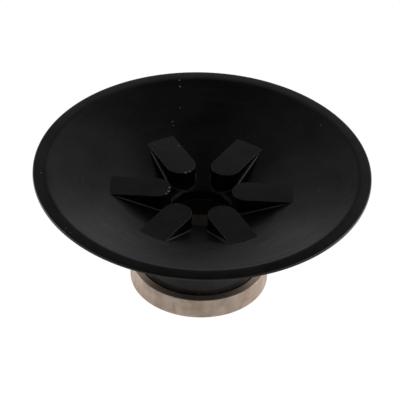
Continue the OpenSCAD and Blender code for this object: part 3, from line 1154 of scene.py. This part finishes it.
@dataclass
class MountingRing:
    """The plated ring that turns on the neck, with tabs that hook under the inlet's flange."""

    cone: Cone
    turn_gap: float = 0.1
    wire_gap: float = 0.2
    bevel: float = 0.35
    top_fall: float = 0.3
    socket_top: float = 3.9
    tab_count: int = 3
    tab_angle: float = 42.0
    tab_t: float = 1.4
    tab_reach: float = 2.7
    spanner_d: float = 2.0

    def __post_init__(self) -> None:
        """Reads the driving sizes from the frame."""
        low, high = span("mounting_ring")
        self.outer_r = (high[0] - low[0]) / 2.0
        self.top_z = high[2]
        self.bore_r = self.cone.neck_r + self.turn_gap
        self.groove_r = self.cone.neck_r + self.cone.wire_d / 2.0 + self.wire_gap

    def profile(self) -> Array:
        """The ring's closed section: bore, groove for the snap ring, and socket."""
        half = self.cone.wire_d / 2.0 + self.cone.groove_gap
        wire_z = self.cone.wire_z
        return rounded([
            (self.groove_r, 0.0, 0.2), (self.outer_r, 0.0, self.bevel),
            (self.outer_r, self.top_z - self.top_fall, self.bevel), (self.bore_r, self.top_z, 0.25),
            (self.bore_r, wire_z + half, 0.05), (self.groove_r, wire_z + half, 0.05),
            (self.groove_r, wire_z - half, 0.05), (self.bore_r, wire_z - half, 0.05),
            (self.bore_r, self.socket_top, 0.1), (self.groove_r, self.socket_top, 0.1),
        ], hold=0.15, count=8)

    def tab(self, number: int) -> Object:
        """A tab: a plate mapped between the spanner's hole and the tab's own outline.

        The plate's points are p = hole + (rim - hole) * s for s from 0 to 1, where hole and rim
        are points in the same direction on the hole and on the outline. The section from the
        hole's wall over the top, down the outer wall and back below is closed.

        Args:
            number: Which tab, counted round the ring.

        Returns:
            The tab's piece.
        """
        inner, outer = self.groove_r - self.tab_reach, self.groove_r + 0.4
        half = math.radians(self.tab_angle / 2.0)
        centre_r = (inner + self.groove_r) / 2.0
        corners = [(-half, inner, 0.5), (-half, outer, 0.1), (half, outer, 0.1), (half, inner, 0.5)]
        flat = rounded([(turn * centre_r, radius, bend) for turn, radius, bend in corners], 0.2, 6)
        flat = self.refined(flat, 120)
        bend = flat[:, 0] / centre_r
        rim = np.stack([flat[:, 1] * np.cos(bend), flat[:, 1] * np.sin(bend)], axis=1)
        centre = np.array([centre_r, 0.0])
        direction = np.arctan2(rim[:, 1], rim[:, 0] - centre_r)
        size = self.spanner_d / 2.0
        hole = centre + size * np.stack([np.cos(direction), np.sin(direction)], axis=1)
        gap = np.linalg.norm(rim - hole, axis=1)[:, None]
        broken, top = 0.15, self.tab_t
        near, still = np.full_like(gap, broken), np.zeros_like(gap)
        steps = [
            (still, broken), (still, top - broken), (near, top), (gap * 0.3, top),
            (gap - broken - 0.1, top), (gap - broken, top), (gap, top - broken), (gap, broken),
            (gap - broken, 0.0), (gap - broken - 0.1, 0.0), (gap * 0.3, 0.0), (near, 0.0),
        ]
        toward = (rim - hole) / gap
        grid = np.stack([
            np.concatenate([hole + toward * out, np.full((len(rim), 1), height)], axis=1)
            for out, height in steps
        ])
        grid = spun(grid, TAU * number / self.tab_count)
        surface = Surface()
        surface.add(grid, wrap_rows=True, wrap_columns=True)
        return surface.piece(f"ring_tab_{number + 1}_skin")

    @staticmethod
    def refined(outline: Array, count: int) -> Array:
        """The outline with points added so that no side is longer than a share of its length."""
        closed = np.concatenate([outline, outline[:1]])
        length = np.concatenate([[0.0], np.cumsum(np.linalg.norm(np.diff(closed, axis=0), axis=1))])
        extra = np.linspace(0.0, length[-1], count, endpoint=False)
        place = np.unique(np.round(np.concatenate([length[:-1], extra]), 3))
        return np.stack([np.interp(place, length, closed[:, axis]) for axis in (0, 1)], axis=1)

    def build(self, metal: Material) -> None:
        """Builds and dresses the ring and its tabs."""
        ring = turned_piece("mounting_ring_skin", self.profile())
        finish_piece(ring, metal, Slot.RING, Body.RING, "mounting_ring")
        for number in range(self.tab_count):
            finish_piece(self.tab(number), metal, Slot.RING, Body.RING)


# ------------------------------------------------------------------ studio


def stand(name: str, data: bpy.types.ID, axes: list[Array], place: Array) -> Object:
    """Stands a camera or a lamp in the scene.

    Args:
        name: Its name.
        data: The camera or the lamp.
        axes: Its X, Y and Z axes.
        place: Where it stands, in metres.

    Returns:
        The object.
    """
    matrix = np.eye(4)
    matrix[:3, :3], matrix[:3, 3] = np.stack(axes, axis=1), place
    made = bpy.data.objects.new(name, data)
    made.matrix_world = Matrix(matrix.tolist())
    bpy.context.scene.collection.objects.link(made)
    return made


@dataclass
class Studio:
    """A pale floor, soft light and the camera."""

    elevation: float = 38.18
    azimuth: float = 1.22
    roll: float = 1.97
    distance: float = 1.14
    lens: float = 302.85
    aim_height: float = 0.0289
    aim_up: float = 0.00268
    aim_left: float = 0.00034
    floor_size: float = 6.0
    dome_size: float = 20.0
    floor_glow: float = 0.30
    ring_shadow_glow: float = 0.035
    behind_share: float = 2.0
    beside_share: float = 1.25
    white: float = 1.02
    surround_power: float = 0.60
    front_share: float = 0.35
    middle_share: float = 0.40
    right_share: float = 1.95
    side_power: float = 1.2
    lamp_width: float = 0.7
    lamp_height: float = 0.5
    levels: tuple[tuple[float, float], ...] = (
        (0.0, 0.72), (8.0, 0.82), (15.0, 0.46), (28.0, 0.18), (38.0, 0.36), (60.0, 0.16), (85.0, 0.16),
    )

    def camera(self) -> None:
        """Places the camera on a long lens, aimed a little above the throat.

        The camera stands at aim + distance * back. Its right and up axes are turned by the roll
        about the line of sight.
        """
        lift, turn, roll = (math.radians(v) for v in (self.elevation, self.azimuth, self.roll))
        level = math.cos(lift)
        back = np.array([math.sin(turn) * level, -math.cos(turn) * level, math.sin(lift)])
        right = np.array([math.cos(turn), math.sin(turn), 0.0])
        up = np.cross(back, right)
        rolled_right = right * math.cos(roll) + up * math.sin(roll)
        rolled_up = up * math.cos(roll) - right * math.sin(roll)
        target = np.array([0.0, 0.0, self.aim_height])
        place = target + self.distance * back
        aim = target + self.aim_up * rolled_up - self.aim_left * rolled_right
        sight = aim - place
        sight /= np.linalg.norm(sight)
        side = np.cross(sight, rolled_up)
        side /= np.linalg.norm(side)
        data = bpy.data.cameras.new("camera")
        data.lens = self.lens
        data.sensor_width = 36.0
        data.clip_start, data.clip_end = 0.05, 50.0
        camera = stand("camera", data, [side, np.cross(side, sight), -sight], place)
        bpy.context.scene.camera = camera

    def sheet(self, name: str, height: float, material: Material) -> Object:
        """A flat square sheet under the object.

        Args:
            name: Its name.
            height: Its height in metres.
            material: Its finish.

        Returns:
            The sheet.
        """
        half = self.floor_size / 2.0
        mesh = bpy.data.meshes.new(name)
        corners = [(x * half, y * half, height) for x, y in ((-1, -1), (1, -1), (1, 1), (-1, 1))]
        mesh.from_pydata(corners, [], [(0, 1, 2, 3)])
        sheet = bpy.data.objects.new(name, mesh)
        bpy.context.scene.collection.objects.link(sheet)
        mesh.materials.append(material)
        return sheet

    def dome(self, material: Material) -> Object:
        """A large dome behind everything: (R cos e cos a, R cos e sin a, R sin e)."""
        lifts, turns = np.radians(np.linspace(-30.0, 90.0, 25)), np.linspace(0.0, TAU, 65)
        lift, turn = np.meshgrid(lifts, turns, indexing="ij")
        level = np.cos(lift)
        grid = np.stack([level * np.cos(turn), level * np.sin(turn), np.sin(lift)], axis=2)
        surface = Surface()
        surface.add(grid * self.dome_size / MM)
        dome = surface.piece("backdrop", weld=1.0)
        dome.data.materials.append(material)
        return dome

    def floor(self) -> None:
        """Lays the pale floor and the pale backdrop.

        The floor takes the lamps' light and the object's shadow, and lights the object from below
        as a light table does. Its glow holds a painted shadow: only a trace under the ring, and less
        in front under the dish than behind; it is brighter towards the sides. What the camera sees is
        a thin white glow just under it and a white backdrop, so that the surround stays pure white.
        """
        paper = Sockets("floor_paper")
        paper.put("Base Color", (0.80, 0.80, 0.80, 1.0))
        paper.put("Roughness", 0.9)
        paper.put("Specular IOR Level", 0.0)
        paper.put("Emission Color", (1.0, 0.98, 0.96, 1.0))
        x, y, _ = paper.separate(paper.place)
        # painted shadow: the glow drops to a trace under the ring and its throat
        under = paper.spread(paper.radius(), 0.0225, 0.024, self.ring_shadow_glow, 1.0)
        # painted shadow of the dish: the glow is lower in front than behind
        behind = paper.spread(y, -0.03, 0.01, self.floor_glow, self.floor_glow * self.behind_share)
        # painted light: the glow grows towards the sides
        beside = paper.spread(paper.math("ABSOLUTE", x), 0.02, 0.07, 1.0, self.beside_share)
        paper.put("Emission Strength", paper.times(paper.times(under, behind), beside))
        floor = self.sheet("floor", 0.0, paper.material)
        floor.visible_camera = False
        glow = Sockets("white_glow")
        glow.put("Base Color", (0.0, 0.0, 0.0, 1.0))
        glow.put("Specular IOR Level", 0.0)
        glow.put("Emission Color", (1.0, 1.0, 1.0, 1.0))
        glow.put("Emission Strength", self.white)
        for seen in (self.sheet("floor_seen", -0.0002, glow.material), self.dome(glow.material)):
            for ray in ("diffuse", "glossy", "transmission", "shadow"):
                setattr(seen, f"visible_{ray}", False)

    def surround(self) -> None:
        """Sets the surround: brightest low down behind the object, dimmer overhead and in front.

        The brightness is a ramp over the height of the direction, times a share that falls from
        one behind the object to a part of it in front.
        """
        world = bpy.data.worlds.new("surround")
        bpy.context.scene.world = world
        world.use_nodes = True
        made = Nodes(world.node_tree)
        x, y, z = made.separate(made.node("ShaderNodeTexCoord").outputs["Generated"])
        ramp = made.node("ShaderNodeValToRGB")
        stops = ramp.color_ramp.elements
        while len(stops) < len(self.levels):
            stops.new(0.5)
        for stop, (angle, level) in zip(stops, self.levels):
            stop.position = math.sin(math.radians(angle))
            stop.color = (level, level, level, 1.0)
        made.join(z, ramp.inputs["Fac"])
        side = made.spread(y, -0.6, 0.8, self.front_share, 1.0)
        dip = made.spread(made.math("ABSOLUTE", x), 0.0, 0.45, self.middle_share, 1.0)
        tilt = made.spread(x, -0.8, 0.8, self.surround_power, self.surround_power * self.right_share)
        background = world.node_tree.nodes["Background"]
        made.join(ramp.outputs["Color"], background.inputs["Color"])
        made.join(made.times(made.times(side, dip), tilt), background.inputs["Strength"])

    def light(self) -> None:
        """Sets the surround and two soft lamps low at the sides."""
        self.surround()
        for name, x in (("left_softbox", -1.35), ("right_softbox", 1.35)):
            self.lamp(name, np.array([x, 0.35, 0.45]), np.array([0.0, 0.0, 0.02]))

    def lamp(self, name: str, place: Array, aim: Array) -> None:
        """Adds a rectangular area lamp.

        Args:
            name: Name of the lamp.
            place: Where it stands, in metres.
            aim: The point it faces, which is not straight above or below it.
        """
        data = bpy.data.lights.new(name, "AREA")
        data.shape = "RECTANGLE"
        data.size, data.size_y, data.energy = self.lamp_width, self.lamp_height, self.side_power
        away = (place - aim) / np.linalg.norm(place - aim)
        side = np.cross([0.0, 0.0, 1.0], away)
        side /= np.linalg.norm(side)
        stand(name, data, [side, np.cross(away, side), away], place)

    def build(self) -> None:
        """Builds the floor, the lights and the camera."""
        bpy.context.scene.view_settings.view_transform = "Standard"
        self.floor()
        self.light()
        self.camera()


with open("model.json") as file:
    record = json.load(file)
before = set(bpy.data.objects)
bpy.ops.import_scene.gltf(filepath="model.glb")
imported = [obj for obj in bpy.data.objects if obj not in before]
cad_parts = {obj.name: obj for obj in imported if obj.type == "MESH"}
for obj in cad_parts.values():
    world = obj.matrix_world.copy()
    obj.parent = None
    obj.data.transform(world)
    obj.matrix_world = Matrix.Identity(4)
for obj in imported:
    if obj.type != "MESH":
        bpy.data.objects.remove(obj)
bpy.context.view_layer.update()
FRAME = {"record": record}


def main() -> None:
    """Builds the object piece by piece, then the studio."""
    cone = Cone()
    ring = MountingRing(cone)
    face_level = cone.floor_z - cone.rise * cone.nose_r
    # painted shade: dulled shine by the throat and on the dish's front
    throat_shade = ThroatShade(cone.round_r, 38.0, 0.7, cone.rise, face_level, cone.round_r + 0.5)
    lip = (cone.face_r, cone.rim_r, 0.5)
    turned_black = BlackCoat("black_turned", DISH_LINT, domed=lip, throat_shade=throat_shade).material()
    milled_black = BlackCoat("black_milled", LUG_LINT, milled=True, lint_share=0.03).material()
    plated = TurnedMetal("warm_plated", (0.68, 0.53, 0.43), (0.95, 0.80, 0.67), rough=0.34, streak=0.3,
                         domed=(ring.bore_r, ring.outer_r, 1.0)).material()
    tinted, plain = (0.34, 0.31, 0.27), (0.36, 0.36, 0.37)
    sleeve_metal = TurnedMetal("sleeve_steel", tinted, (0.52, 0.48, 0.43), rough=0.34).material()
    wire = TurnedMetal("spring_steel", plain, (0.55, 0.55, 0.57), rough=0.28).material()
    rubber = Rubber("seal_rubber").material()
    sheet = Rubber("gasket_sheet", rough=0.75, fine=900.0).material()
    cone.build(turned_black)
    for number in range(1, cone.lug_count + 1):
        Lug(cone, number).build(milled_black)
    Sleeve().build(sleeve_metal, rubber, sheet)
    RimSeal(cone).build(rubber)
    SnapRing(cone).build(wire)
    ring.build(plated)
    Studio().build()


if __name__ == "__main__":
    logging.basicConfig(level=logging.INFO, format="%(name)s: %(message)s")
    main()
